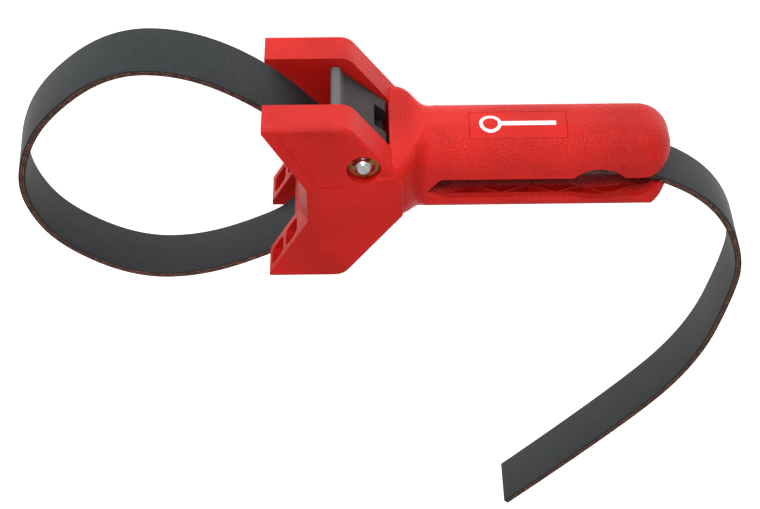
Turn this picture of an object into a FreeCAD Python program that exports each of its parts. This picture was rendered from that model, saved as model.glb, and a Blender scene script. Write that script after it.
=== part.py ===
import FreeCAD, Part
import math
import os
from FreeCAD import Vector

# Strap wrench with a cam lock, lying on its side on a flat surface.
# X runs from the loop to the butt, Y across the jaws, Z up from the side that it rests on.
# X = 0 is the cam pin's axis, Y = 0 is the middle of the V jaws, Z = 0 is the resting face.
# All sizes are in millimetres and all angles in degrees.

# Head: two cheeks with V jaws
HEAD_WIDTH = 72.0            # across the outer faces of the cheeks
CHEEK_GAP = 35.0             # between the cheeks
HEAD_HALF_HEIGHT = 48.0      # from the middle of the V to the top or bottom of the head
JAW_FRONT = -47.6            # X of the jaw tips
JAW_TIP_FLAT = 2.6           # length of the flat at each jaw tip
V_ROOT_OUTER = -27.4         # X of the root of the V on a cheek's outer face
V_ROOT_INNER = -32.2         # X of the root of the V on a cheek's inner face
V_HALF_ANGLE = 60.3          # between a jaw face and the X axis
TOP_REAR = -6.5              # X where the top of the head turns down to the neck
BOTTOM_REAR = -10.5          # X where the bottom of the head turns up to the neck
REAR_SLOPE = 53.5            # slope of the head's rear edges
HEAD_REAR = 19.0             # X where the cheeks end inside the neck
CORNER_R = 9.0               # rear corners of the head
ROOT_R = 5.0                 # corners at the root of the V
EDGE_R = 2.0                 # rounding of the cheeks' outer edges
JAW_EDGE_R = 0.8             # rounding of the jaw faces' outer edges

# Shallow marks in a cheek's outer face
GROOVE_WIDE = 1.3
GROOVE_DEEP = 0.35
GROOVE_INSET = 6.2           # from the V's outer edge, along X
GROOVE_TOP = 43.0            # Y of the groove's upper end
GROOVE_TURN = 11.4           # Y where it turns along the cheek
GROOVE_END = -9.0            # X of its rear end
FLUTE_TOP = 19.4             # Y of the steep side of the flute beside the recess
FLUTE_WIDE = 5.5
FLUTE_END = 17.2             # X where the flute runs out
FLUTE_DEEP = 3.2

# Cored pockets in the jaw faces
POCKET_LONG = 12.0           # along the jaw face
POCKET_WIDE = 11.5           # across the cheek
POCKET_DEEPS = (9.0, 5.0)    # depth of the pocket at the root and of the one at the tip
POCKET_RIB = 2.6             # wall between two pockets
POCKET_START = 2.0           # from the root of the V to the first pocket
POCKET_R = 3.0

# Neck and grip
REAR_WALL = 12.8             # X of the wall behind the cam
NECK_REAR = 31.0             # X where the neck has narrowed to the grip
GRIP_START = 38.0            # X where the grip's own form begins
SHOULDER = 0.5               # how far the neck is set in from the cheeks' outer faces
GRIP_END = 151.5             # X of the butt
GRIP_TOP = 24.8              # Y of the grip's upper surface
GRIP_BOTTOM = -17.5          # Y of the grip's lower surface
GRIP_WIDTH = 41.0            # across the grip
GRIP_TOP_R = 17.5            # rounding of the grip's upper edges
GRIP_LOW_R = 5.0             # rounding of the grip's lower edges
BUTT_R = 15.5                # rounding of the butt
SPLIT_Y = 0.0                # Y where the rounded upper half meets the rail
HEEL_R = 15.0                # lower corner of the butt seen from the side
WALL = 3.6                   # moulded wall of the grip
SLOT_TOP = 2.0               # Y of the rim of the grip's upper shell
SLOT_LOW = -9.7              # Y of the rim of the lower rail
SLOT_FRONT = 31.2            # X of the pointed front end of the side slot
SLOT_HIP = 37.5              # X where the pointed end meets the upper rim
SCALLOP_X = 115.6            # X of the middle of the thumb scallop
SCALLOP_HALF = 12.6          # half the scallop's length
SCALLOP_DEEP = 5.6           # its height above the rim
SCALLOP_LOW = 1.8            # its depth below the rim of the lower rail
SHELL_HEEL_R = 14.0          # lower corner of the upper shell's butt
RAIL_RISE = 7.0              # how far the rail's rim rises at the butt
RAIL_FLOOR = 3.0             # thickness of the rail's floor
RAIL_WEB_Z = 10.5            # the two long webs, from the middle of the grip
RAIL_WEB = 2.4               # thickness of the webs and of the zigzag ribs
ZIGZAG_STEP = 12.5           # X step of the zigzag ribs

# Cam lock
PIN_Y = 22.7                 # Y of the cam pin's axis
PIN_D = 8.2
PIN_RUN = 0.08               # radial clearance of the cam on its pin
PIN_HALF = 35.7              # half the pin's length
PIN_CHAMFER = 1.3
RECESS_D = 16.4              # round recess for the clip in each cheek
RECESS_DEEP = 4.4
CLIP_OD = 14.6
CLIP_T = 1.1
CLIP_BAND = 1.9              # width of the clip's outer ring
CLIP_LUG = 3.2               # width of a clip's lugs
CLIP_MOUTH = 84.0            # opening angle of the clip
CLIP_AIM = 112.0             # direction that the clip's opening faces
CLIP_GROOVE_D = 6.3          # root of the clip's groove in the pin
CLIP_GAP = 0.1               # between the clip and the floor of its recess
CAM_WIDTH = 33.0
CAM_ECC = 5.6                # how far the gripping drum's centre lies behind the pin
CAM_DROP = 0.5               # and how far below it
RIDGE_TOP = 21.2             # height of the thumb ridge above the pin
RIDGE_X = -13.2              # X of the middle of the ridge
RIDGE_T = 4.8                # thickness of the ridge
CAM_REAR = 11.4              # X of the cam's rear end
CAM_TAIL_Y = -0.6            # height of the cam's rear top corner above the pin
NOTCH_START = 5.5            # X where the spring notch opens through the slope
NOTCH_WIDTH = 16.0           # spring notch in the cam
SPRING_WIRE = 1.3
SPRING_RUN = 0.2             # radial clearance of the coil on the pin
SPRING_R = PIN_D / 2.0 + SPRING_RUN + SPRING_WIRE / 2.0
SPRING_TURNS = 5.0
SPRING_PITCH = 2.1
SPRING_LEG = 10.0            # length of the leg that bears on the cam
SPRING_CLEAR = 0.3           # round the coil inside the notch
TOOTH_STEP = 7.0             # degrees between the drum's gripping grooves
TOOTH_DEEP = 0.7
CAM_TO_STRAP = 0.35          # gap between the drum and the strap at rest

# Strap
STRAP_W = 28.6
STRAP_T = 3.45
GRIP_LINE = 0.1              # Y of the strap's middle line in the grip
STRAP_SIDE = 1.0             # side clearance of the strap in its guides
STRAP_FACE = 0.5             # face clearance of the strap in its guides
ANVIL_T = 5.0                # thickness of the anvil wall under the strap
ANVIL_FRONT = 24.0           # length of the anvil ahead of the drum's corner

# Strap anchor
PLATE_LONG = 13.0            # along the strap
PLATE_WIDE = 27.0
PLATE_T = 2.4
PLATE_SET = 0.5              # from the strap's end to the plates
RIVET_D = 4.0
RIVET_HEAD_D = 7.6
RIVET_HEAD_T = 1.4
RIVET_STEP = 13.0            # between the two rivets
BULKHEAD_T = 5.0
BULKHEAD_UP = 6.5            # height of the bulkhead above the strap

MID = HEAD_WIDTH / 2.0       # Z of the middle plane
INNER = MID + CHEEK_GAP / 2.0
DRUM_X = CAM_ECC
DRUM_Y = PIN_Y - CAM_DROP
BEND_R = DRUM_Y - GRIP_LINE  # radius of the strap's middle line round the drum
DRUM_R = BEND_R - STRAP_T / 2.0 - CAM_TO_STRAP

# The strap's route: from the anchor round the loop to the cam, and from the butt to the cut end.
STRAP_LOOP = [
    (-16.0, -20.9), (-44.5, -50.2), (-84.0, -67.4), (-119.5, -67.4), (-155.0, -44.3), (-168.9, -17.0),
    (-168.9, 7.4), (-154.5, 38.4), (-120.0, 66.9), (-84.0, 66.9), (-48.0, 47.2),
]
BUTT_DROOP_X = 136.0         # X where the strap bends down out of the butt
BUTT_BEND_R = 45.0
STRAP_TAIL = [
    (164.0, -12.4), (183.7, -32.1), (195.1, -60.4), (195.1, -83.7), (183.1, -140.0), (147.7, -192.5),
    (84.0, -264.0),
]


# ---- shapes that the pieces are made from ----

def on_level(z):
    return lambda u, v: Vector(u, v, z)


def across_grip(x):
    return lambda u, v: Vector(x, v, MID + u)


def outline(corners, place):
    """Closed wire through corners (u, v, radius), each corner a tangent arc."""
    spots = []
    for i, (u, v, r) in enumerate(corners):
        here = place(u, v)
        back_way = place(*corners[i - 1][:2]) - here
        next_way = place(*corners[(i + 1) % len(corners)][:2]) - here
        half = back_way.getAngle(next_way) / 2.0
        back_way.normalize()
        next_way.normalize()
        reach = r / math.tan(half)
        middle = here + (back_way + next_way).normalize() * (r / math.sin(half) - r)
        spots.append((here + back_way * reach, middle, here + next_way * reach, r))
    edges = []
    for i, (start, middle, end, r) in enumerate(spots):
        if r > 0:
            edges.append(Part.Arc(start, middle, end).toShape())
        after = spots[(i + 1) % len(spots)][0]
        if (after - end).Length > 1e-6:
            edges.append(Part.LineSegment(end, after).toShape())
    return Part.Wire(edges)


def prism(corners, z0, z1):
    return Part.Face(outline(corners, on_level(z0))).extrude(Vector(0, 0, z1 - z0))


def square(points):
    """Corners with no rounding."""
    return [(x, y, 0.0) for x, y in points]


def block(x0, x1, y0, y1, z0, z1):
    return Part.makeBox(x1 - x0, y1 - y0, z1 - z0, Vector(x0, y0, z0))


def rod(radius, z0, z1, x=0.0, y=PIN_Y):
    return Part.makeCylinder(radius, z1 - z0, Vector(x, y, z0))


def other_side(shape):
    """Mirror image in the middle plane."""
    return shape.mirror(Vector(0, 0, MID), Vector(0, 0, 1))


def upside_down(shape):
    """Mirror image in the plane through the middle of the V."""
    return shape.mirror(Vector(0, 0, 0), Vector(0, 1, 0))


# ---- strap ----

def strap_corner():
    """Corner where the run down from the loop meets the line of the grip."""
    x, y = STRAP_LOOP[-1]
    reach = math.hypot(DRUM_X - x, y - DRUM_Y)
    turn = math.atan2(y - DRUM_Y, DRUM_X - x) + math.asin(BEND_R / reach)
    return DRUM_X - BEND_R * math.tan(turn / 2.0), GRIP_LINE


def route_edges(points, fixed):
    """Straight runs joined by tangent arcs; fixed gives some corners their own radius."""
    edges = []
    last = Vector(*points[0], 0)
    for i in range(1, len(points) - 1):
        here = Vector(*points[i], 0)
        back_way = Vector(*points[i - 1], 0) - here
        next_way = Vector(*points[i + 1], 0) - here
        half = back_way.getAngle(next_way) / 2.0
        room = 0.49 * min(back_way.Length, next_way.Length) * math.tan(half)
        r = fixed.get(i, room)
        reach = r / math.tan(half)
        back_way.normalize()
        next_way.normalize()
        start = here + back_way * reach
        end = here + next_way * reach
        middle = here + (back_way + next_way).normalize() * (r / math.sin(half) - r)
        edges.append(Part.LineSegment(last, start).toShape())
        edges.append(Part.Arc(start, middle, end).toShape())
        last = end
    edges.append(Part.LineSegment(last, Vector(*points[-1], 0)).toShape())
    return edges


def strap_edges():
    points = STRAP_LOOP + [strap_corner(), (BUTT_DROOP_X, GRIP_LINE)] + STRAP_TAIL
    drum_turn = len(STRAP_LOOP)
    return route_edges(points, {drum_turn: BEND_R, drum_turn + 1: BUTT_BEND_R})


def beside(edge, side):
    """The line or arc moved to the left of its direction by side."""
    points = []
    for share in (0.0, 0.5, 1.0):
        u = edge.FirstParameter + share * (edge.LastParameter - edge.FirstParameter)
        along = edge.tangentAt(u)
        points.append(edge.valueAt(u) + Vector(-along.y, along.x, 0) * side)
    if isinstance(edge.Curve, Part.Circle):
        return Part.Arc(*points).toShape()
    return Part.LineSegment(points[0], points[2]).toShape()


def band(edges, left, right, half_width):
    """Solid along a flat route, between left and right of it, as wide as the strap or its guide."""
    lefts = [beside(edge, left) for edge in edges]
    rights = [beside(edge, right) for edge in edges]
    first = Part.LineSegment(edges_start(rights), edges_start(lefts)).toShape()
    last = Part.LineSegment(edges_end(lefts), edges_end(rights)).toShape()
    wire = Part.Wire(Part.__sortEdges__(lefts + rights + [first, last]))
    wire.translate(Vector(0, 0, MID - half_width))
    return Part.Face(wire).extrude(Vector(0, 0, 2.0 * half_width))


def edges_start(edges):
    return edges[0].valueAt(edges[0].FirstParameter)


def edges_end(edges):
    return edges[-1].valueAt(edges[-1].LastParameter)


def anchor_frame(shape):
    """Moves a shape made at the origin, with X along the strap, to the strap's anchored end."""
    end = Vector(*STRAP_LOOP[0], 0)
    along = Vector(*STRAP_LOOP[1], 0) - end
    shape.rotate(Vector(0, 0, 0), Vector(0, 0, 1), math.degrees(math.atan2(along.y, along.x)))
    shape.translate(end + Vector(0, 0, MID))
    return shape


def make_strap():
    strap = band(strap_edges(), STRAP_T / 2.0, -STRAP_T / 2.0, STRAP_W / 2.0)
    return strap.cut(Part.makeCompound(rivet_shanks(0.0)))


def rivet_shanks(extra):
    """The two rivets' shanks, thickened by extra."""
    shanks = []
    for side in (-1, 1):
        reach = STRAP_T / 2.0 + PLATE_T
        base = Vector(PLATE_SET + PLATE_LONG / 2.0, -reach, side * RIVET_STEP / 2.0)
        shank = Part.makeCylinder(RIVET_D / 2.0 + extra, 2.0 * reach, base, Vector(0, 1, 0))
        shanks.append(anchor_frame(shank))
    return shanks


def make_anchor_plate(side):
    """Steel plate on one face of the strap's end."""
    y0 = STRAP_T / 2.0 if side > 0 else -STRAP_T / 2.0 - PLATE_T
    plate = Part.makeBox(PLATE_LONG, PLATE_T, PLATE_WIDE, Vector(PLATE_SET, y0, -PLATE_WIDE / 2.0))
    upright = [e for e in plate.Edges if abs(e.tangentAt(e.FirstParameter).y) > 0.99]
    plate = anchor_frame(plate.makeFillet(1.5, upright))
    return plate.cut(Part.makeCompound(rivet_shanks(0.0)))


def make_anchor_rivet(side):
    reach = STRAP_T / 2.0 + PLATE_T
    x = PLATE_SET + PLATE_LONG / 2.0
    z = side * RIVET_STEP / 2.0
    head_r = RIVET_HEAD_D / 2.0
    rivet = Part.makeCylinder(RIVET_D / 2.0, 2.0 * reach, Vector(x, -reach, z), Vector(0, 1, 0))
    for way in (-1, 1):
        direction = Vector(0, way, 0)
        head = Part.makeCone(head_r, head_r * 0.6, RIVET_HEAD_T, Vector(x, way * reach, z), direction)
        rivet = rivet.fuse(head)
    return anchor_frame(rivet.removeSplitter())


# ---- handle ----

def jaw_root_y(root_x):
    """Y where the upper jaw face meets the root of the V."""
    rise = (root_x - JAW_FRONT) * math.tan(math.radians(V_HALF_ANGLE))
    return HEAD_HALF_HEIGHT - JAW_TIP_FLAT - rise


def cheek_corners(root_x):
    """Side view of a cheek whose V has its root at root_x."""
    high = HEAD_HALF_HEIGHT
    slope = math.tan(math.radians(REAR_SLOPE))
    root_y = jaw_root_y(root_x)
    rear_top = high - (HEAD_REAR - TOP_REAR) * slope
    rear_low = (HEAD_REAR - BOTTOM_REAR) * slope - high
    return [
        (JAW_FRONT, high, 0.0),
        (JAW_FRONT, high - JAW_TIP_FLAT, 0.0),
        (root_x, root_y, ROOT_R),
        (root_x, -root_y, ROOT_R),
        (JAW_FRONT, JAW_TIP_FLAT - high, 0.0),
        (JAW_FRONT, -high, 0.0),
        (BOTTOM_REAR, -high, CORNER_R),
        (HEAD_REAR, rear_low, 1.0),
        (HEAD_REAR, rear_top, 1.0),
        (TOP_REAR, high, CORNER_R),
    ]


def behind_jaws(edge):
    """True for an edge of the cheek's top, rear or bottom, and not of the V."""
    box = edge.BoundBox
    return box.XMin > V_ROOT_OUTER + 0.5 or abs(box.Center.y) > HEAD_HALF_HEIGHT - 0.1


def make_cheek():
    """The upper cheek as it lies, with rounded outer edges."""
    inside = outline(cheek_corners(V_ROOT_INNER), on_level(INNER))
    outside = outline(cheek_corners(V_ROOT_OUTER), on_level(HEAD_WIDTH))
    cheek = Part.makeLoft([inside, outside], True, True)
    upper_face = [e for e in cheek.Edges if e.BoundBox.ZMin > HEAD_WIDTH - 0.01]
    return cheek.makeFillet(EDGE_R, [e for e in upper_face if behind_jaws(e)])


def jaw_pockets():
    """Cored pockets in both jaw faces of the upper cheek."""
    middle = (INNER + HEAD_WIDTH) / 2.0
    pockets = []
    for order, deep in enumerate(POCKET_DEEPS):
        start = POCKET_START + order * (POCKET_LONG + POCKET_RIB)
        box = Part.makeBox(POCKET_LONG, 2.0 * deep, POCKET_WIDE)
        box.translate(Vector(start, -deep, -POCKET_WIDE / 2.0))
        deep_edges = [e for e in box.Edges if abs(e.tangentAt(e.FirstParameter).y) > 0.99]
        box = box.makeFillet(POCKET_R, deep_edges)
        box.rotate(Vector(0, 0, 0), Vector(0, 0, 1), 180.0 - V_HALF_ANGLE)
        box.translate(Vector(V_ROOT_INNER, jaw_root_y(V_ROOT_INNER), middle))
        pockets += [box, upside_down(box)]
    return pockets


def face_marks():
    """Groove along the V and flute behind the recess, cut in the upper cheek's outer face."""
    slope = 1.0 / math.tan(math.radians(V_HALF_ANGLE))
    edge_y = HEAD_HALF_HEIGHT - JAW_TIP_FLAT
    top_x = JAW_FRONT + GROOVE_INSET + (edge_y - GROOVE_TOP) * slope
    turn_x = JAW_FRONT + GROOVE_INSET + (edge_y - GROOVE_TURN) * slope
    groove = prism(square([
        (top_x, GROOVE_TOP), (turn_x, GROOVE_TURN), (GROOVE_END, GROOVE_TURN),
        (GROOVE_END, GROOVE_TURN + GROOVE_WIDE), (turn_x + GROOVE_WIDE, GROOVE_TURN + GROOVE_WIDE),
        (top_x + GROOVE_WIDE, GROOVE_TOP),
    ]), HEAD_WIDTH - GROOVE_DEEP, HEAD_WIDTH + 1.0)
    ends = []
    for x, deep, wide in ((0.0, FLUTE_DEEP, FLUTE_WIDE), (FLUTE_END, 0.05, 0.5 * FLUTE_WIDE)):
        corners = [
            Vector(x, FLUTE_TOP, HEAD_WIDTH + 0.2), Vector(x, FLUTE_TOP, HEAD_WIDTH - deep),
            Vector(x, FLUTE_TOP - wide, HEAD_WIDTH + 0.2),
        ]
        ends.append(Part.makePolygon(corners + corners[:1]))
    return [groove, Part.makeLoft(ends, True, True)]


def grip_wire(x, half_width, top, bottom, top_r, low_r):
    return outline([
        (-half_width, bottom, low_r), (half_width, bottom, low_r),
        (half_width, top, top_r), (-half_width, top, top_r),
    ], across_grip(x))


def make_neck():
    """Blend from the width of the head to the width of the grip."""
    half = GRIP_WIDTH / 2.0
    drop = NECK_REAR - HEAD_REAR
    straight = [
        grip_wire(x, half, GRIP_TOP, GRIP_BOTTOM, GRIP_TOP_R, GRIP_LOW_R)
        for x in (NECK_REAR + 0.5, (NECK_REAR + GRIP_START) / 2.0 + 0.5, GRIP_START)
    ]
    wires = [
        grip_wire(REAR_WALL - 6.0, MID - 1.0, GRIP_TOP - 3.0, GRIP_BOTTOM + 5.0, 7.0, 7.0),
        grip_wire(REAR_WALL + 1.0, MID - 1.2, GRIP_TOP - 4.0, GRIP_BOTTOM + 4.0, 7.0, 9.0),
        grip_wire(HEAD_REAR + 0.25 * drop, half + 9.5, GRIP_TOP - 2.2, GRIP_BOTTOM + 1.5, 9.5, 12.0),
        grip_wire(HEAD_REAR + 0.7 * drop, half + 2.2, GRIP_TOP - 0.4, GRIP_BOTTOM + 0.1, 15.0, 9.0),
    ] + straight
    level = block(-HEAD_WIDTH, GRIP_END, -HEAD_WIDTH, HEAD_WIDTH, SHOULDER, HEAD_WIDTH - SHOULDER)
    return Part.makeLoft(wires, True, False).common(level)


def domed_form(x0, inset, low_y):
    """The hand grip's rounded form above low_y, drawn in by inset."""
    radius = GRIP_TOP_R - inset
    section = grip_wire(
        x0, GRIP_WIDTH / 2.0 - inset, GRIP_TOP - inset, GRIP_BOTTOM + inset, radius, radius)
    form = Part.Face(section).extrude(Vector(GRIP_END - inset - x0, 0, 0))
    butt = [e for e in form.Edges if e.BoundBox.XMin > GRIP_END - inset - 0.1]
    form = form.makeFillet(BUTT_R - inset, butt)
    return form.common(block(x0, GRIP_END, low_y, GRIP_TOP, 0.0, HEAD_WIDTH))


def make_grip_rail():
    """Lower half of the grip, with a rounded heel."""
    half = GRIP_WIDTH / 2.0
    section = grip_wire(GRIP_START, half, GRIP_TOP, GRIP_BOTTOM, GRIP_TOP_R, GRIP_LOW_R)
    rail = Part.Face(section).extrude(Vector(GRIP_END - GRIP_START, 0, 0))
    heel = prism([
        (GRIP_START, GRIP_BOTTOM, 0.0), (GRIP_END, GRIP_BOTTOM, HEEL_R),
        (GRIP_END, SPLIT_Y, 0.0), (GRIP_START, SPLIT_Y, 0.0),
    ], 0.0, HEAD_WIDTH)
    plan = block(GRIP_START, GRIP_END, GRIP_BOTTOM, GRIP_TOP, MID - half, MID + half)
    rear_edges = [e for e in plan.Edges if e.BoundBox.XMin > GRIP_END - 1.0]
    upright = [e for e in rear_edges if e.BoundBox.ZLength < 0.01]
    return rail.common(heel).common(plan.makeFillet(BUTT_R, upright))


def side_slot():
    """The slot along both sides of the grip, with the thumb scallop."""
    far = GRIP_END + 5.0
    slot = prism([
        (SLOT_FRONT, (SLOT_TOP + 2.0 * SLOT_LOW) / 3.0, 0.8),
        (SLOT_HIP + 3.0, SLOT_LOW, 6.0),
        (GRIP_END - HEEL_R, SLOT_LOW, 10.0),
        (GRIP_END - 1.0, SLOT_LOW + RAIL_RISE, 0.0),
        (far, SLOT_LOW + RAIL_RISE, 0.0),
        (far, SLOT_TOP + SHELL_HEEL_R, 0.0),
        (GRIP_END, SLOT_TOP + SHELL_HEEL_R, 0.0),
        (GRIP_END, SLOT_TOP, SHELL_HEEL_R - 0.5),
        (SLOT_HIP, SLOT_TOP, 3.0),
    ], -1.0, HEAD_WIDTH + 1.0)
    scallop_r = (SCALLOP_HALF ** 2 + SCALLOP_DEEP ** 2) / (2.0 * SCALLOP_DEEP)
    centre_y = SLOT_TOP + SCALLOP_DEEP - scallop_r
    scallop = rod(scallop_r, -1.0, HEAD_WIDTH + 1.0, SCALLOP_X, centre_y)
    above_slot = block(SLOT_HIP, GRIP_END, SLOT_LOW + 2.0, GRIP_TOP, -1.0, HEAD_WIDTH + 1.0)
    dip_r = (SCALLOP_HALF ** 2 + SCALLOP_LOW ** 2) / (2.0 * SCALLOP_LOW)
    dip = rod(dip_r, -1.0, HEAD_WIDTH + 1.0, SCALLOP_X, SLOT_LOW - SCALLOP_LOW + dip_r)
    below_slot = block(SLOT_HIP, GRIP_END, GRIP_BOTTOM, SLOT_TOP - 1.0, -1.0, HEAD_WIDTH + 1.0)
    return slot.fuse([scallop.common(above_slot), dip.common(below_slot)])


def rail_pockets():
    """Triangular pockets between the zigzag ribs of the lower rail, and its middle channel."""
    floor = GRIP_BOTTOM + RAIL_FLOOR
    lip = GRIP_WIDTH / 2.0 - WALL
    web_out = RAIL_WEB_Z + RAIL_WEB / 2.0
    web_in = RAIL_WEB_Z - RAIL_WEB / 2.0
    x0 = SLOT_HIP + 3.0
    x1 = GRIP_END - HEEL_R
    count = int((x1 - x0) / ZIGZAG_STEP)
    step = (x1 - x0) / count
    inset = RAIL_WEB * 0.75
    cuts = [block(x0, x1, floor, SLOT_LOW + 1.0, MID - web_in, MID + web_in)]
    for i in range(count - 1):
        left = x0 + i * step
        near, away = (web_out, lip) if i % 2 else (lip, web_out)
        corners = [(left + inset, near), (left + 2.0 * step - inset, near), (left + step, away)]
        face = Part.Face(Part.makePolygon([Vector(x, floor, MID + z) for x, z in corners + corners[:1]]))
        pocket = face.extrude(Vector(0, SLOT_LOW + 1.0 - floor, 0))
        cuts += [pocket, other_side(pocket)]
    return cuts


def anvil_edges():
    """The strap's route from ahead of the drum into the grip."""
    x, y = STRAP_LOOP[-1]
    corner = Vector(*strap_corner(), 0)
    back_way = (Vector(x, y, 0) - corner).normalize()
    start = corner + back_way * ANVIL_FRONT
    return route_edges([(start.x, start.y), (corner.x, corner.y), (NECK_REAR + 4.0, GRIP_LINE)], {1: BEND_R})


def make_bulkhead():
    """Wall between the cheeks that the strap's end plates bear on."""
    start = PLATE_SET + PLATE_LONG
    reach = 2.0 * HEAD_HALF_HEIGHT
    wall = Part.makeBox(BULKHEAD_T, BULKHEAD_UP + STRAP_T / 2.0 + reach, CHEEK_GAP + 2.0)
    wall.translate(Vector(start, -BULKHEAD_UP - STRAP_T / 2.0, -CHEEK_GAP / 2.0 - 1.0))
    slot = Part.makeBox(BULKHEAD_T + 2.0, STRAP_T + 2.0 * STRAP_FACE, STRAP_W + 2.0 * STRAP_SIDE)
    slot.translate(Vector(start - 1.0, -STRAP_T / 2.0 - STRAP_FACE, -STRAP_W / 2.0 - STRAP_SIDE))
    wall = anchor_frame(wall.cut(slot))
    head = Part.Face(outline(cheek_corners(V_ROOT_INNER), on_level(0))).extrude(Vector(0, 0, HEAD_WIDTH))
    return wall.common(head)


def pin_seats():
    """Bore for the pin through both cheeks, and a recess for each clip."""
    recess = rod(RECESS_D / 2.0, HEAD_WIDTH - RECESS_DEEP, HEAD_WIDTH + 1.0)
    return [rod(PIN_D / 2.0, -1.0, HEAD_WIDTH + 1.0), recess, other_side(recess)]


def make_handle():
    cheek = make_cheek()
    guide = STRAP_W / 2.0 + STRAP_SIDE
    face = STRAP_T / 2.0 + STRAP_FACE
    anvil = band(anvil_edges(), -face, -face - ANVIL_T, CHEEK_GAP / 2.0 + 1.0)
    neck_core = make_neck().cut(block(-60.0, REAR_WALL, -60.0, 60.0, MID - CHEEK_GAP / 2.0, INNER))
    shell = domed_form(GRIP_START, 0.0, SPLIT_Y)
    hollow = domed_form(NECK_REAR - 4.0, WALL, SLOT_LOW)
    body = cheek.multiFuse([other_side(cheek), neck_core, shell, make_grip_rail(), anvil, make_bulkhead()])
    passage = band(anvil_edges(), face, -face, guide)
    past_drum = 2 * len(STRAP_LOOP)
    way_out = band(strap_edges()[past_drum:past_drum + 6], face + 4.0, -face, guide)
    cheek_cuts = jaw_pockets() + face_marks()
    cuts = [passage, way_out, hollow, side_slot()] + rail_pockets() + pin_seats()
    cuts += cheek_cuts + [other_side(cut) for cut in cheek_cuts]
    return body.cut(cuts).removeSplitter()


# ---- cam lock ----

def make_cam():
    z0 = MID - CAM_WIDTH / 2.0
    z1 = MID + CAM_WIDTH / 2.0
    drum = rod(DRUM_R, z0, z1, DRUM_X, DRUM_Y)
    front = DRUM_X - DRUM_R
    below = block(front - 5.0, REAR_WALL - 9.0, DRUM_Y - DRUM_R - 1.0, PIN_Y, z0, z1)
    top = PIN_Y + RIDGE_TOP
    lever = prism([
        (RIDGE_X - RIDGE_T / 2.0, top, RIDGE_T / 2.2),
        (front, PIN_Y - 2.0, 1.0),
        (REAR_WALL - 9.0, PIN_Y - 12.0, 2.0),
        (CAM_REAR, PIN_Y - 4.0, 2.0),
        (CAM_REAR, PIN_Y + CAM_TAIL_Y, 2.6),
        (RIDGE_X + RIDGE_T / 2.0 + 0.5, top - 2.4, 1.0),
        (RIDGE_X + RIDGE_T / 2.0, top, RIDGE_T / 2.2),
    ], z0, z1)
    side_edges = [e for e in lever.Edges if e.BoundBox.ZLength < 0.01]
    lever = lever.makeFillet(0.5, side_edges)
    cam = drum.common(below).fuse(lever)
    cam = cam.cut(rod(PIN_D / 2.0 + PIN_RUN, z0 - 1.0, z1 + 1.0))
    half = NOTCH_WIDTH / 2.0
    coil_r = SPRING_R + SPRING_WIRE / 2.0 + SPRING_CLEAR
    notch = rod(coil_r, MID - half, MID + half)
    notch = notch.fuse([
        block(0.0, REAR_WALL, PIN_Y - coil_r, PIN_Y, MID - half, MID + half),
        block(NOTCH_START, REAR_WALL, PIN_Y - 1.0, PIN_Y + RIDGE_TOP, MID - half, MID + half),
    ])
    leg_y = PIN_Y - SPRING_R
    leg_slot = block(-SPRING_LEG - 1.0, 0.0, leg_y - 1.3, leg_y + 1.3, MID + half - 4.4, MID + half)
    cam = cam.cut([notch, leg_slot] + drum_grooves(z0, z1))
    return cam.removeSplitter()


def drum_grooves(z0, z1):
    """Gripping grooves across the drum's lower front."""
    grooves = []
    for i in range(8):
        angle = math.radians(205.0 + i * TOOTH_STEP)
        x = DRUM_X + DRUM_R * math.cos(angle)
        y = DRUM_Y + DRUM_R * math.sin(angle)
        grooves.append(rod(TOOTH_DEEP, z0 - 1.0, z1 + 1.0, x, y))
    return grooves


def make_cam_pin():
    z0 = MID - PIN_HALF
    z1 = MID + PIN_HALF
    pin = rod(PIN_D / 2.0, z0, z1)
    ends = [e for e in pin.Edges if e.BoundBox.ZLength < 0.01]
    pin = pin.makeChamfer(PIN_CHAMFER, ends)
    low = HEAD_WIDTH - RECESS_DEEP + CLIP_GAP
    ring = rod(PIN_D, low - 0.05, low + CLIP_T + 0.05).cut(rod(CLIP_GROOVE_D / 2.0, 0.0, HEAD_WIDTH))
    return pin.cut([ring, other_side(ring)])


def make_pin_clip():
    """E-shaped retaining clip on the upper end of the pin."""
    low = HEAD_WIDTH - RECESS_DEEP + CLIP_GAP
    high = low + CLIP_T
    outer = CLIP_OD / 2.0
    inner = CLIP_GROOVE_D / 2.0 + 0.03
    clip = rod(outer, low, high).cut(rod(outer - CLIP_BAND, 0.0, HEAD_WIDTH))
    for turn in (-95.0, 0.0, 95.0):
        lug = Part.makeBox(outer - 1.0, CLIP_LUG, CLIP_T, Vector(0, -CLIP_LUG / 2.0, low))
        lug.rotate(Vector(0, 0, 0), Vector(0, 0, 1), CLIP_AIM + 180.0 + turn)
        lug.translate(Vector(0, PIN_Y, 0))
        clip = clip.fuse(lug)
    reach = 2.0 * outer
    spread = math.radians(CLIP_MOUTH / 2.0)
    aim = math.radians(CLIP_AIM)
    mouth = [(0.0, PIN_Y)]
    for way in (-1, 1):
        angle = aim + way * spread
        mouth.append((reach * math.cos(angle), PIN_Y + reach * math.sin(angle)))
    clip = clip.cut(prism(square(mouth), low - 1.0, high + 1.0))
    return clip.cut(rod(inner, 0.0, HEAD_WIDTH)).removeSplitter()


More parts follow.
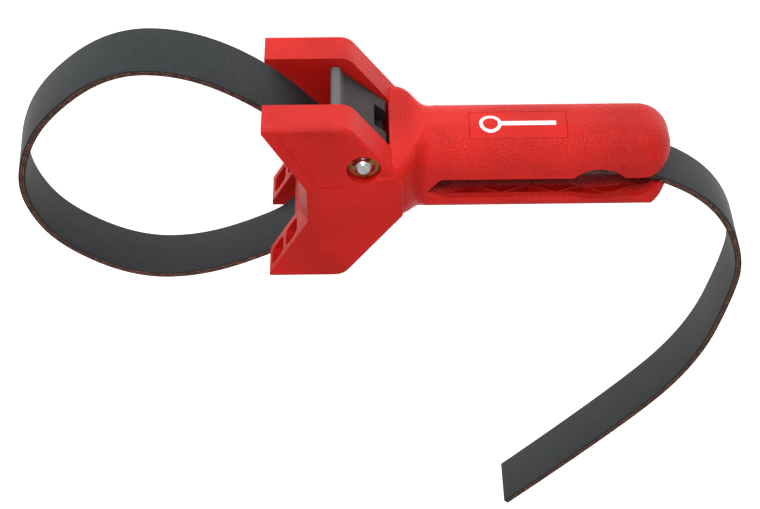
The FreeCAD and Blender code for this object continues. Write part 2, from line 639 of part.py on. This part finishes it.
def make_cam_spring():
    """Torsion spring round the pin: one leg bears on the wall behind it, the other on the cam."""
    height = SPRING_TURNS * SPRING_PITCH
    wire_r = SPRING_WIRE / 2.0
    helix = Part.makeHelix(SPRING_PITCH, height, SPRING_R)
    path = helix.Edges[0]
    start = path.valueAt(path.FirstParameter)
    ring = Part.Wire(Part.makeCircle(wire_r, start, path.tangentAt(path.FirstParameter)))
    coil = Part.Wire(helix).makePipeShell([ring], True, True)
    coil.rotate(Vector(0, 0, 0), Vector(0, 0, 1), -90.0)
    coil = coil.mirror(Vector(0, 0, 0), Vector(1, 0, 0))
    wall_leg = Part.makeCylinder(wire_r, REAR_WALL, Vector(0, -SPRING_R, 0), Vector(1, 0, 0))
    cam_leg = Part.makeCylinder(wire_r, SPRING_LEG, Vector(0, -SPRING_R, height), Vector(-1, 0, 0))
    knee = Part.makeSphere(wire_r, Vector(0, -SPRING_R, 0))
    other_knee = Part.makeSphere(wire_r, Vector(0, -SPRING_R, height))
    spring = coil.multiFuse([wall_leg, cam_leg, knee, other_knee])
    spring.translate(Vector(0, PIN_Y, MID - height / 2.0))
    return spring


def build():
    clip = make_pin_clip()
    return {
        "handle": make_handle(),
        "cam": make_cam(),
        "cam_pin": make_cam_pin(),
        "cam_spring": make_cam_spring(),
        "pin_clip_upper": clip,
        "pin_clip_lower": other_side(clip),
        "strap": make_strap(),
        "anchor_plate_front": make_anchor_plate(-1),
        "anchor_plate_rear": make_anchor_plate(1),
        "anchor_rivet_upper": make_anchor_rivet(1),
        "anchor_rivet_lower": make_anchor_rivet(-1),
    }


def print_radii():
    radii = [edge.Curve.Radius for edge in strap_edges() if isinstance(edge.Curve, Part.Circle)]
    print("strap radii", " ".join("%.2f" % radius for radius in radii))
    print("strap corner %.4f %.4f" % strap_corner())
    print("strap length %.1f" % sum(edge.Length for edge in strap_edges()))


print_radii()
os.makedirs("parts", exist_ok=True)
for name, shape in build().items():
    print(name, shape.ShapeType, len(shape.Solids), shape.isValid(), round(shape.Volume, 1))
    shape.exportStep("parts/" + name + ".step")
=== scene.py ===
import math

import bmesh
import bpy
from mathutils import Matrix, Vector


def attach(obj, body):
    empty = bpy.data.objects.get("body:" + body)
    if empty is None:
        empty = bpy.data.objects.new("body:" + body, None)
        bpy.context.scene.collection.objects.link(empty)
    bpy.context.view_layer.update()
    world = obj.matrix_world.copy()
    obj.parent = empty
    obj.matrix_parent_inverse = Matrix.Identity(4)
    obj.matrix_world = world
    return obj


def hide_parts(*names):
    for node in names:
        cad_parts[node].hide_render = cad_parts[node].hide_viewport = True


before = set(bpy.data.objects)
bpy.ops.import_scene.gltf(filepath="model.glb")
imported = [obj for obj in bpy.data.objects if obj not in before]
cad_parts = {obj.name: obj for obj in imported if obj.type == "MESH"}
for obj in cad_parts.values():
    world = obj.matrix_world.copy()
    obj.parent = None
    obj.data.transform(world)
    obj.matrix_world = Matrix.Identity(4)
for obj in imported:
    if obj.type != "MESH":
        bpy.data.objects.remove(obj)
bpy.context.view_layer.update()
print("frame loaded", sorted(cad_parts))


def toLinear(code):
    # sRGB hex to the linear colour that shaders take
    parts = [int(code[i:i + 2], 16) / 255 for i in (1, 3, 5)]
    return [p / 12.92 if p <= 0.04045 else ((p + 0.055) / 1.055) ** 2.4 for p in parts] + [1.0]


def addNode(tree, kind, inputs=None, **settings):
    # an input is a socket to link, a hex colour or a plain value
    node = tree.nodes.new(kind)
    for name, value in settings.items():
        setattr(node, name, value)
    for socket, value in (inputs or {}).items():
        if isinstance(value, bpy.types.NodeSocket):
            tree.links.new(value, node.inputs[socket])
        elif isinstance(value, str) and value.startswith("#"):
            node.inputs[socket].default_value = toLinear(value)
        else:
            node.inputs[socket].default_value = value
    return node


def startTree(name):
    material = bpy.data.materials.new(name)
    material.use_nodes = True
    material.node_tree.nodes.clear()
    return material, material.node_tree


def perMetre(millimetres):
    # texture scale whose grains are this many millimetres apart
    return 1000.0 / millimetres


# Handle: glass filled nylon, injection moulded in one piece
handleLook = {
    "body": "#C41913", "deep": "#A8140F", "pale": "#DC4038",
    "panel": "#CE2620", "panelTint": 0.25, "print": "#F4EFEC",
    "roughness": 0.46, "specular": 0.16, "ior": 1.53,
    "pebbleMm": 1.05,        # real pebble is about 0.6 mm; coarser so that it shows
    "pebbleHeightMm": 0.4,
    "headPebble": 0.5,       # share of the grip's grain that the head has
    "fleckMm": 0.9, "flowMm": 38.0,
    "gripStart": 0.0165,     # metres along X, where the grain starts to grow to the grip's
    "gripFade": 0.012,
    "panelMiddle": (0.0755, 0.0073, 0.039), "panelTilt": 84.0,
    "panelHalfLong": 0.024, "panelHalf": 0.0086,
    "panelFade": 0.0006, "panelFrom": 0.004, "panelTo": 0.006, "panelSink": 1.6,
    "ringAt": -0.0135, "ringRadius": 0.0046, "lineHalf": 0.00085, "barTo": 0.0185,
}


def makeRedNylon(look):
    # semi-matt: broad soft highlights, pebble grain strongest on the grip, faint flow marks
    material, tree = startTree("redGlassFilledNylon")
    place = addNode(tree, "ShaderNodeTexCoord").outputs["Object"]
    along = addNode(tree, "ShaderNodeSeparateXYZ", {0: place}).outputs[0]
    flow = addNode(tree, "ShaderNodeTexNoise", {
        "Vector": place, "Scale": perMetre(look["flowMm"]), "Detail": 3.0, "Roughness": 0.55}).outputs[0]
    speck = addNode(tree, "ShaderNodeTexNoise", {
        "Vector": place, "Scale": perMetre(look["fleckMm"]), "Detail": 2.0, "Roughness": 0.6}).outputs[0]
    # the panel is a smooth patch let into the side of the grip, with a plain ring and bar printed on it
    turned = addNode(tree, "ShaderNodeMapping", {
        "Vector": place, "Location": look["panelMiddle"],
        "Rotation": (-math.radians(look["panelTilt"]), 0.0, 0.0)}, vector_type="TEXTURE").outputs[0]
    long, wide, out = addNode(tree, "ShaderNodeSeparateXYZ", {0: turned}).outputs
    alongAway = addNode(tree, "ShaderNodeMath", {0: long}, operation="ABSOLUTE").outputs[0]
    acrossAway = addNode(tree, "ShaderNodeMath", {0: wide}, operation="ABSOLUTE").outputs[0]
    alongMask = addNode(tree, "ShaderNodeMapRange", {
        0: alongAway, 1: look["panelHalfLong"], 2: look["panelHalfLong"] - look["panelFade"]}).outputs[0]
    acrossMask = addNode(tree, "ShaderNodeMapRange", {
        0: acrossAway, 1: look["panelHalf"], 2: look["panelHalf"] - look["panelFade"]}).outputs[0]
    facing = addNode(tree, "ShaderNodeMapRange", {
        0: out, 1: look["panelFrom"], 2: look["panelTo"]}).outputs[0]
    patch = addNode(tree, "ShaderNodeMath", {0: alongMask, 1: acrossMask}, operation="MULTIPLY").outputs[0]
    panel = addNode(tree, "ShaderNodeMath", {0: patch, 1: facing}, operation="MULTIPLY").outputs[0]
    fromRing = addNode(tree, "ShaderNodeMath", {0: long, 1: look["ringAt"]}, operation="SUBTRACT").outputs[0]
    flat = addNode(tree, "ShaderNodeCombineXYZ", {0: fromRing, 1: wide}).outputs[0]
    radius = addNode(tree, "ShaderNodeVectorMath", {0: flat}, operation="LENGTH").outputs["Value"]
    ring = addNode(tree, "ShaderNodeMath", {
        0: radius, 1: look["ringRadius"], 2: look["lineHalf"]}, operation="COMPARE").outputs[0]
    barMiddle = (look["ringAt"] + look["ringRadius"] + look["barTo"]) / 2
    barLong = addNode(tree, "ShaderNodeMath", {
        0: long, 1: barMiddle, 2: look["barTo"] - barMiddle}, operation="COMPARE").outputs[0]
    barWide = addNode(tree, "ShaderNodeMath", {
        0: wide, 1: 0.0, 2: look["lineHalf"] * 1.6}, operation="COMPARE").outputs[0]
    bar = addNode(tree, "ShaderNodeMath", {0: barLong, 1: barWide}, operation="MULTIPLY").outputs[0]
    sign = addNode(tree, "ShaderNodeMath", {0: ring, 1: bar}, operation="MAXIMUM").outputs[0]
    printed = addNode(tree, "ShaderNodeMath", {0: sign, 1: panel}, operation="MULTIPLY").outputs[0]
    # grain
    onGrip = addNode(tree, "ShaderNodeMapRange", {
        0: along, 1: look["gripStart"], 2: look["gripStart"] + look["gripFade"],
        3: look["headPebble"]}).outputs[0]
    offPanel = addNode(tree, "ShaderNodeMath", {0: 1.0, 1: panel}, operation="SUBTRACT").outputs[0]
    grain = addNode(tree, "ShaderNodeMath", {0: onGrip, 1: offPanel}, operation="MULTIPLY").outputs[0]
    pebble = addNode(tree, "ShaderNodeTexVoronoi", {
        "Vector": place, "Scale": perMetre(look["pebbleMm"]), "Smoothness": 0.6},
        feature="SMOOTH_F1").outputs["Distance"]
    lumps = addNode(tree, "ShaderNodeMath", {0: pebble, 1: grain}, operation="MULTIPLY").outputs[0]
    raised = addNode(tree, "ShaderNodeMath", {
        0: panel, 1: -look["panelSink"], 2: lumps}, operation="MULTIPLY_ADD").outputs[0]
    bump = addNode(tree, "ShaderNodeBump", {
        "Height": raised, "Strength": 1.0, "Distance": look["pebbleHeightMm"] / 1000}).outputs[0]
    # colour
    flowing = addNode(tree, "ShaderNodeMapRange", {0: flow, 1: 0.35, 2: 0.7}).outputs[0]
    colour = addNode(tree, "ShaderNodeMix", {
        0: flowing, 6: look["body"], 7: look["deep"]}, data_type="RGBA").outputs[2]
    bright = addNode(tree, "ShaderNodeMapRange", {0: speck, 1: 0.56, 2: 0.72, 4: 0.4}).outputs[0]
    fleck = addNode(tree, "ShaderNodeMath", {0: bright, 1: grain}, operation="MULTIPLY").outputs[0]
    colour = addNode(tree, "ShaderNodeMix", {
        0: fleck, 6: colour, 7: look["pale"]}, data_type="RGBA").outputs[2]
    tint = addNode(tree, "ShaderNodeMath", {
        0: panel, 1: look["panelTint"]}, operation="MULTIPLY").outputs[0]
    colour = addNode(tree, "ShaderNodeMix", {
        0: tint, 6: colour, 7: look["panel"]}, data_type="RGBA").outputs[2]
    colour = addNode(tree, "ShaderNodeMix", {
        0: printed, 6: colour, 7: look["print"]}, data_type="RGBA").outputs[2]
    rough = addNode(tree, "ShaderNodeMapRange", {
        0: flow, 1: 0.3, 2: 0.7, 3: look["roughness"] - 0.04, 4: look["roughness"] + 0.06}).outputs[0]
    shader = addNode(tree, "ShaderNodeBsdfPrincipled", {
        "Base Color": colour, "Roughness": rough, "Normal": bump,
        "IOR": look["ior"], "Specular IOR Level": look["specular"]}).outputs[0]
    addNode(tree, "ShaderNodeOutputMaterial", {"Surface": shader})
    return material


# Cam: carbon black nylon with a spark-eroded grain
camLook = {
    "body": "#141416", "pale": "#4E4F52", "blotch": "#101011", "ridgeHighlight": "#6C6D70",
    "roughness": 0.55, "specular": 0.3, "ior": 1.53,
    "grainMm": 0.95,         # real grain is about 0.3 mm; coarser so that it shows
    "grainHeightMm": 0.08, "blotchMm": 9.0,
    "ridgeHighlightFrom": 0.0402, "ridgeHighlightTo": 0.0432,      # metres along Y: the top of the thumb ridge gets a painted highlight, paler where the light falls on it
}


def makeBlackNylon(look):
    # dark grey with a sharp even grain that catches the light as fine specks
    material, tree = startTree("blackGrainedNylon")
    place = addNode(tree, "ShaderNodeTexCoord").outputs["Object"]
    height = addNode(tree, "ShaderNodeSeparateXYZ", {0: place}).outputs[1]
    grain = addNode(tree, "ShaderNodeTexNoise", {
        "Vector": place, "Scale": perMetre(look["grainMm"]), "Detail": 3.0, "Roughness": 0.65}).outputs[0]
    blotch = addNode(tree, "ShaderNodeTexNoise", {
        "Vector": place, "Scale": perMetre(look["blotchMm"]), "Detail": 2.0}).outputs[0]
    specks = addNode(tree, "ShaderNodeMapRange", {0: grain, 1: 0.5, 2: 0.75, 4: 0.6}).outputs[0]
    colour = addNode(tree, "ShaderNodeMix", {
        0: specks, 6: look["body"], 7: look["pale"]}, data_type="RGBA").outputs[2]
    dull = addNode(tree, "ShaderNodeMapRange", {0: blotch, 1: 0.4, 2: 0.8, 4: 0.25}).outputs[0]
    colour = addNode(tree, "ShaderNodeMix", {
        0: dull, 6: colour, 7: look["blotch"]}, data_type="RGBA").outputs[2]
    # painted highlight: above a height along Y, the top of the thumb ridge is mixed towards a pale grey that
    # stands in for the light falling on it
    ridgeHighlight = addNode(tree, "ShaderNodeMapRange", {
        0: height, 1: look["ridgeHighlightFrom"], 2: look["ridgeHighlightTo"], 4: 0.6}).outputs[0]
    colour = addNode(tree, "ShaderNodeMix", {
        0: ridgeHighlight, 6: colour, 7: look["ridgeHighlight"]}, data_type="RGBA").outputs[2]
    bump = addNode(tree, "ShaderNodeBump", {
        "Height": grain, "Strength": 0.6, "Distance": look["grainHeightMm"] / 1000}).outputs[0]
    shader = addNode(tree, "ShaderNodeBsdfPrincipled", {
        "Base Color": colour, "Roughness": look["roughness"], "Normal": bump,
        "IOR": look["ior"], "Specular IOR Level": look["specular"]}).outputs[0]
    addNode(tree, "ShaderNodeOutputMaterial", {"Surface": shader})
    return material


# Small metal pieces
markHeightMm = 0.03
stainMm = 4.0
steelLooks = {
    "turnedSteel": {                 # bright, with round tool marks across the axis
        "body": "#F1F3F4", "stain": "#C6C8CB", "roughness": 0.22, "markMm": 0.5, "stretch": (1, 1, 6)},
    "yellowZincPlatedSteel": {       # brownish gold with darker patches
        "body": "#A4673F", "stain": "#54301F", "roughness": 0.32, "markMm": 1.4, "stretch": (1, 1, 1)},
    "oiledSpringSteel": {            # nearly black, wet looking wire
        "body": "#3A3B3E", "stain": "#222326", "roughness": 0.35, "markMm": 0.7, "stretch": (1, 1, 1)},
    "stampedSteelPlate": {           # dull grey sheet with drawn marks
        "body": "#8C8E92", "stain": "#55565A", "roughness": 0.42, "markMm": 2.0, "stretch": (1, 1, 3)},
}


def makeSteel(name, look):
    # fine tool marks in the roughness, a thin uneven stain in the colour
    material, tree = startTree(name)
    place = addNode(tree, "ShaderNodeTexCoord").outputs["Object"]
    stretched = addNode(tree, "ShaderNodeMapping", {"Vector": place, "Scale": look["stretch"]}).outputs[0]
    marks = addNode(tree, "ShaderNodeTexNoise", {
        "Vector": stretched, "Scale": perMetre(look["markMm"]), "Detail": 4.0, "Roughness": 0.6}).outputs[0]
    patches = addNode(tree, "ShaderNodeTexNoise", {
        "Vector": place, "Scale": perMetre(stainMm), "Detail": 3.0}).outputs[0]
    stained = addNode(tree, "ShaderNodeMapRange", {0: patches, 1: 0.45, 2: 0.75}).outputs[0]
    colour = addNode(tree, "ShaderNodeMix", {
        0: stained, 6: look["body"], 7: look["stain"]}, data_type="RGBA").outputs[2]
    rough = addNode(tree, "ShaderNodeMapRange", {
        0: marks, 1: 0.3, 2: 0.7, 3: look["roughness"] - 0.06, 4: look["roughness"] + 0.12}).outputs[0]
    bump = addNode(tree, "ShaderNodeBump", {
        "Height": marks, "Strength": 0.25, "Distance": markHeightMm / 1000}).outputs[0]
    shader = addNode(tree, "ShaderNodeBsdfPrincipled", {
        "Base Color": colour, "Roughness": rough, "Normal": bump, "Metallic": 1.0}).outputs[0]
    addNode(tree, "ShaderNodeOutputMaterial", {"Surface": shader})
    return material


# Strap: moulded rubber on two fabric plies
strapSizes = {
    "width": 0.0286, "thickness": 0.00345, "corner": 0.0005,
    "middleZ": 0.036, "weld": 0.000001, "sharpFrom": 50,
    # x and y in millimetres, then the twist in degrees
    "route": [
        (-16.0, -20.9, 0.0), (-35.5, -40.95, 0.0), (-44.5, -50.2, 0.0), (-84.0, -67.4, 0.0),
        (-119.5, -67.4, 0.0), (-155.0, -44.3, 1.0), (-168.9, -17.0, 2.5), (-168.9, 7.4, 4.0),
        (-154.5, 38.4, 5.5), (-120.0, 66.9, 6.6), (-84.0, 66.9, 7.6), (-48.0, 47.2, 8.4),
        (-17.1, 14.13, 2.0), (-3.9972, 0.1, 0.0), (15.2, 0.1, 0.0), (75.0, 0.1, 0.0), (117.0, 0.1, 0.0),
        (136.0, 0.1, 0.0), (164.0, -12.4, 0.0), (183.7, -32.1, 0.0), (195.1, -60.4, 0.0),
        (195.1, -83.7, 0.0), (183.1, -140.0, 0.0), (147.7, -192.5, 0.0), (84.0, -264.0, 0.0),
    ],
}

strapLook = {
    "face": "#1B1F21", "facePale": "#2A2F32", "dull": "#131516", "edge": "#141617",
    "ply": "#512A1D", "plyPale": "#8C5038",
    "edgeFrom": 0.01405, "edgeTo": 0.01428,    # metres from the middle of the strap's width
    "edgeShare": 0.7,                          # how much of the cut edge's own tone shows there
    "plyAt": 0.00055, "plyHalf": 0.00022,      # metres from the middle of the strap's thickness
    "grainMm": 0.9,          # real cloth print is about 0.5 mm; coarser so that it shows
    "grainHeightMm": 0.07, "threadMm": 1.6, "blotchMm": 22.0,
    "roughness": 0.62, "specular": 0.28, "ior": 1.52,
}


def strapCentreLine(sizes):
    curve = bpy.data.curves.new("strapLine", "CURVE")
    curve.dimensions = "3D"
    curve.twist_mode = "Z_UP"
    curve.resolution_u = 24
    spline = curve.splines.new("NURBS")
    spline.points.add(len(sizes["route"]) - 1)
    for point, (x, y, twist) in zip(spline.points, sizes["route"]):
        point.co = (x / 1000, y / 1000, sizes["middleZ"], 1.0)
        point.tilt = math.radians(twist)
    spline.order_u = 3
    spline.use_endpoint_u = True
    line = bpy.data.objects.new("strapLine", curve)
    bpy.context.scene.collection.objects.link(line)
    return line


def strapTree(material):
    # sweeps a rounded oblong along the line and keeps where each point lies in the section
    tree = bpy.data.node_groups.new("strapSweep", "GeometryNodeTree")
    ports = tree.interface
    ports.new_socket("Geometry", in_out="INPUT", socket_type="NodeSocketGeometry")
    for name in ("Width", "Thickness", "Corner"):
        ports.new_socket(name, in_out="INPUT", socket_type="NodeSocketFloat")
    ports.new_socket("Geometry", in_out="OUTPUT", socket_type="NodeSocketGeometry")
    given = addNode(tree, "NodeGroupInput").outputs
    oblong = addNode(tree, "GeometryNodeCurvePrimitiveQuadrilateral", {
        "Width": given["Thickness"], "Height": given["Width"]})
    rounded = addNode(tree, "GeometryNodeFilletCurve", {
        "Curve": oblong.outputs[0], "Radius": given["Corner"], "Count": 3}, mode="POLY")
    spot = addNode(tree, "GeometryNodeInputPosition")
    keep = addNode(tree, "GeometryNodeCaptureAttribute", {"Geometry": rounded.outputs[0]})
    keep.capture_items.new("VECTOR", "inSection")
    tree.links.new(spot.outputs[0], keep.inputs["inSection"])
    sweep = addNode(tree, "GeometryNodeCurveToMesh", {
        "Curve": given["Geometry"], "Profile Curve": keep.outputs["Geometry"], "Fill Caps": True})
    store = addNode(tree, "GeometryNodeStoreNamedAttribute", {
        "Geometry": sweep.outputs[0], "Value": keep.outputs["inSection"], "Name": "inSection"},
        data_type="FLOAT_VECTOR")
    real = addNode(tree, "GeometryNodeRealizeInstances", {"Geometry": store.outputs[0]})
    painted = addNode(tree, "GeometryNodeSetMaterial", {"Geometry": real.outputs[0], "Material": material})
    addNode(tree, "NodeGroupOutput", {"Geometry": painted.outputs[0]})
    return tree


def makeStrapRubber(look):
    # matt vulcanised rubber with the print of its curing cloth; two fabric plies show at the cut edges
    material, tree = startTree("fabricReinforcedRubber")
    place = addNode(tree, "ShaderNodeTexCoord").outputs["Object"]
    section = addNode(tree, "ShaderNodeAttribute", attribute_name="inSection").outputs["Vector"]
    through, across, _ = addNode(tree, "ShaderNodeSeparateXYZ", {0: section}).outputs
    grain = addNode(tree, "ShaderNodeTexNoise", {
        "Vector": place, "Scale": perMetre(look["grainMm"]), "Detail": 3.0, "Roughness": 0.6}).outputs[0]
    blotch = addNode(tree, "ShaderNodeTexNoise", {
        "Vector": place, "Scale": perMetre(look["blotchMm"]), "Detail": 3.0}).outputs[0]
    thread = addNode(tree, "ShaderNodeTexNoise", {
        "Vector": place, "Scale": perMetre(look["threadMm"]), "Detail": 2.0}).outputs[0]
    printMark = addNode(tree, "ShaderNodeMapRange", {0: grain, 1: 0.4, 2: 0.7}).outputs[0]
    colour = addNode(tree, "ShaderNodeMix", {
        0: printMark, 6: look["face"], 7: look["facePale"]}, data_type="RGBA").outputs[2]
    dull = addNode(tree, "ShaderNodeMapRange", {0: blotch, 1: 0.4, 2: 0.8, 4: 0.3}).outputs[0]
    colour = addNode(tree, "ShaderNodeMix", {
        0: dull, 6: colour, 7: look["dull"]}, data_type="RGBA").outputs[2]
    sideways = addNode(tree, "ShaderNodeMath", {0: across}, operation="ABSOLUTE").outputs[0]
    onEdge = addNode(tree, "ShaderNodeMapRange", {
        0: sideways, 1: look["edgeFrom"], 2: look["edgeTo"]}).outputs[0]
    deep = addNode(tree, "ShaderNodeMath", {0: through}, operation="ABSOLUTE").outputs[0]
    pastPly = addNode(tree, "ShaderNodeMath", {
        0: deep, 1: look["plyAt"]}, operation="SUBTRACT").outputs[0]
    fromPly = addNode(tree, "ShaderNodeMath", {0: pastPly}, operation="ABSOLUTE").outputs[0]
    wander = addNode(tree, "ShaderNodeMapRange", {0: thread, 1: 0.3, 2: 0.7, 3: 0.6, 4: 1.25}).outputs[0]
    uneven = addNode(tree, "ShaderNodeMath", {0: fromPly, 1: wander}, operation="DIVIDE").outputs[0]
    plyLine = addNode(tree, "ShaderNodeMapRange", {
        0: uneven, 1: look["plyHalf"] * 1.5, 2: look["plyHalf"] * 0.6}).outputs[0]
    plyMask = addNode(tree, "ShaderNodeMath", {0: plyLine, 1: onEdge}, operation="MULTIPLY").outputs[0]
    threadTone = addNode(tree, "ShaderNodeMapRange", {0: thread, 1: 0.4, 2: 0.65}).outputs[0]
    plyColour = addNode(tree, "ShaderNodeMix", {
        0: threadTone, 6: look["ply"], 7: look["plyPale"]}, data_type="RGBA").outputs[2]
    cut = addNode(tree, "ShaderNodeMath", {
        0: onEdge, 1: look["edgeShare"]}, operation="MULTIPLY").outputs[0]
    colour = addNode(tree, "ShaderNodeMix", {
        0: cut, 6: colour, 7: look["edge"]}, data_type="RGBA").outputs[2]
    colour = addNode(tree, "ShaderNodeMix", {
        0: plyMask, 6: colour, 7: plyColour}, data_type="RGBA").outputs[2]
    bump = addNode(tree, "ShaderNodeBump", {
        "Height": grain, "Strength": 0.6, "Distance": look["grainHeightMm"] / 1000}).outputs[0]
    shader = addNode(tree, "ShaderNodeBsdfPrincipled", {
        "Base Color": colour, "Roughness": look["roughness"], "Normal": bump,
        "IOR": look["ior"], "Specular IOR Level": look["specular"]}).outputs[0]
    addNode(tree, "ShaderNodeOutputMaterial", {"Surface": shader})
    return material


def makeStrap(sizes, look):
    line = strapCentreLine(sizes)
    modifier = line.modifiers.new("sweep", "NODES")
    modifier.node_group = strapTree(makeStrapRubber(look))
    for socket in modifier.node_group.interface.items_tree:
        if socket.in_out == "INPUT" and socket.name != "Geometry":
            modifier[socket.identifier] = sizes[socket.name.lower()]
    bpy.context.view_layer.update()
    evaluated = line.evaluated_get(bpy.context.evaluated_depsgraph_get())
    mesh = bpy.data.meshes.new_from_object(evaluated)
    bpy.data.objects.remove(line)
    skin = bmesh.new()
    skin.from_mesh(mesh)
    bmesh.ops.remove_doubles(skin, verts=skin.verts, dist=sizes["weld"])
    bmesh.ops.recalc_face_normals(skin, faces=skin.faces)
    print("strap volume", round(skin.calc_volume(signed=True) * 1e6, 2), "cm3")
    skin.to_mesh(mesh)
    skin.free()
    strap = bpy.data.objects.new("flatStrap", mesh)
    bpy.context.scene.collection.objects.link(strap)
    for polygon in mesh.polygons:
        polygon.use_smooth = True
    mesh.set_sharp_from_angle(angle=math.radians(sizes["sharpFrom"]))
    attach(strap, "body")
    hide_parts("strap")


def dress(material, *nodes):
    for name in nodes:
        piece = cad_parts[name]
        piece.data.materials.clear()
        piece.data.materials.append(material)


dress(makeRedNylon(handleLook), "handle")
dress(makeBlackNylon(camLook), "cam")
steels = {name: makeSteel(name, look) for name, look in steelLooks.items()}
dress(steels["turnedSteel"], "cam_pin", "anchor_rivet_upper", "anchor_rivet_lower")
dress(steels["yellowZincPlatedSteel"], "pin_clip_upper", "pin_clip_lower")
dress(steels["oiledSpringSteel"], "cam_spring")
dress(steels["stampedSteelPlate"], "anchor_plate_front", "anchor_plate_rear")
print("frame dressed")

makeStrap(strapSizes, strapLook)
print("strap made")


# Studio: white paper, one broad key from the side of the grip's back and a weak fill above
studio = {
    "floor": "#FBFBFA", "floorLift": 0.66, "floorHalf": 4.0,
    "world": "#FFFFFF", "worldStrength": 0.42,
    "key": {"power": 15.5, "place": (-0.25, 1.3, 0.75), "size": 0.9},
    "fill": {"power": 9.5, "place": (0.3, -0.2, 1.7), "size": 1.2},
    "aim": (0, 0, 0.03),
}


def makeFloor(look):
    mesh = bpy.data.meshes.new("floor")
    side = look["floorHalf"]
    corners = [(-side, -side, 0), (side, -side, 0), (side, side, 0), (-side, side, 0)]
    mesh.from_pydata(corners, [], [(0, 1, 2, 3)])
    floor = bpy.data.objects.new("floor", mesh)
    bpy.context.scene.collection.objects.link(floor)
    material, tree = startTree("palePaper")
    shader = addNode(tree, "ShaderNodeBsdfPrincipled", {
        "Base Color": look["floor"], "Roughness": 0.9,
        "Emission Color": look["floor"], "Emission Strength": look["floorLift"]}).outputs[0]
    addNode(tree, "ShaderNodeOutputMaterial", {"Surface": shader})
    mesh.materials.append(material)


def addLight(name, look, aim):
    light = bpy.data.lights.new(name, "AREA")
    light.energy = look["power"]
    light.shape = "DISK"
    light.size = look["size"]
    lamp = bpy.data.objects.new(name, light)
    bpy.context.scene.collection.objects.link(lamp)
    lamp.location = look["place"]
    lamp.rotation_euler = (Vector(aim) - Vector(look["place"])).to_track_quat("-Z", "Y").to_euler()


def makeStudio(look):
    makeFloor(look)
    world = bpy.data.worlds.new("softBox")
    bpy.context.scene.world = world
    world.use_nodes = True
    back = world.node_tree.nodes["Background"]
    back.inputs[0].default_value = toLinear(look["world"])
    back.inputs[1].default_value = look["worldStrength"]
    addLight("keyLight", look["key"], look["aim"])
    addLight("fillLight", look["fill"], look["aim"])


cameraPlace = {
    "location": (-0.0028, 0.5576, 0.6752),
    "right": (0.99985, 0.0, 0.01745), "up": (0.0122, 0.7145, -0.6996),
    "back": (-0.0125, 0.6997, 0.7144),
    "lens": 80.53,
}


def makeCamera(place):
    camera = bpy.data.cameras.new("camera")
    camera.lens = place["lens"]
    camera.sensor_width = 36.0
    camera.clip_start = 0.01
    viewer = bpy.data.objects.new("camera", camera)
    bpy.context.scene.collection.objects.link(viewer)
    axes = Matrix((place["right"], place["up"], place["back"])).transposed().to_4x4()
    viewer.matrix_world = Matrix.Translation(place["location"]) @ axes
    bpy.context.scene.camera = viewer


bpy.context.scene.view_settings.view_transform = "Standard"
makeStudio(studio)
makeCamera(cameraPlace)
print("studio ready")
